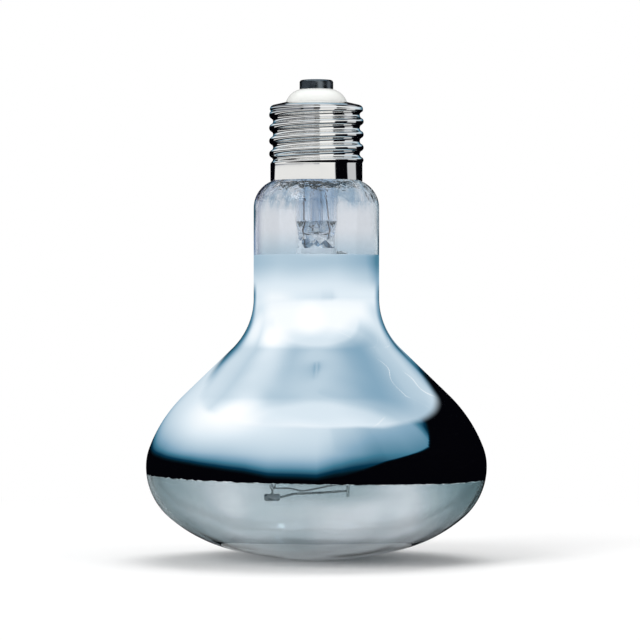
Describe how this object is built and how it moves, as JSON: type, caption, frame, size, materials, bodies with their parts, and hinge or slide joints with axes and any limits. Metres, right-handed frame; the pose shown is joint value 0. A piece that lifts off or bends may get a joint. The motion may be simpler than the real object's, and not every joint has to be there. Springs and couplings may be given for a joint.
{
  "type": "uvb basking lamp",
  "caption": "Sealed self-ballasted reflector lamp for basking animals: mirrored glass bulb with a clear front and neck, an arc tube and filament inside, and a round thread screw cap.",
  "frame": {"origin": "lowest point of the bulb's clear front, on the lamp's axis; the lamp stands cap up on it", "axes": "+Z along the lamp's axis from the clear front to the end contact; the pictured side faces -Y"},
  "size_m": [0.095, 0.095, 0.1338],
  "materials": {
    "bulb_glass": "clear blown soda-lime glass, very slightly blue grey",
    "stem_glass": "clear lead glass, pressed and fire polished",
    "quartz": "clear fused quartz",
    "mirror_film": "evaporated aluminium mirror",
    "nickel_shell": "bright nickel plate on thin rolled sheet",
    "white_ceramic": "white glazed ceramic",
    "contact_metal": "dull tinned button, mottled dark grey",
    "solder": "soft solder, rippled",
    "cement": "matt capping cement",
    "copper_wire": "drawn copper-plated wire",
    "nickel_wire": "drawn nickel wire and strip",
    "molybdenum": "molybdenum wire and foil",
    "tungsten": "tungsten wire, wound in a fine coil",
    "resistor_body": "matt ceramic rod with pressed metal caps"
  },
  "bodies": {
    "root": {"glass_envelope": "bulb_glass", "stem_glass": "stem_glass", "exhaust_tube": "stem_glass", "support_beads": "stem_glass", "arc_tube": "quartz", "mirror_coating": "mirror_film", "screw_shell": "nickel_shell", "cap_insulator": "white_ceramic", "end_contact": "contact_metal", "contact_solder": "solder", "side_solder": "solder", "capping_cement": "cement", "centre_lead_wire": "copper_wire", "side_lead_wire": "copper_wire", "filament_lead": "nickel_wire", "frame_lead": "nickel_wire", "stem_strap": "nickel_wire", "support_frame": "nickel_wire", "cross_wire": "nickel_wire", "upper_arc_lead": "nickel_wire", "lower_arc_lead": "nickel_wire", "upper_pinch_clip": "nickel_wire", "lower_pinch_clip": "nickel_wire", "arc_tube_foils": "molybdenum", "filament_hooks": "molybdenum", "upper_electrode": "tungsten", "lower_electrode": "tungsten", "starter_electrode": "tungsten", "ballast_filament": "tungsten", "starting_resistor": "resistor_body", "resistor_leads": "nickel_wire"}
  },
  "joints": []
}
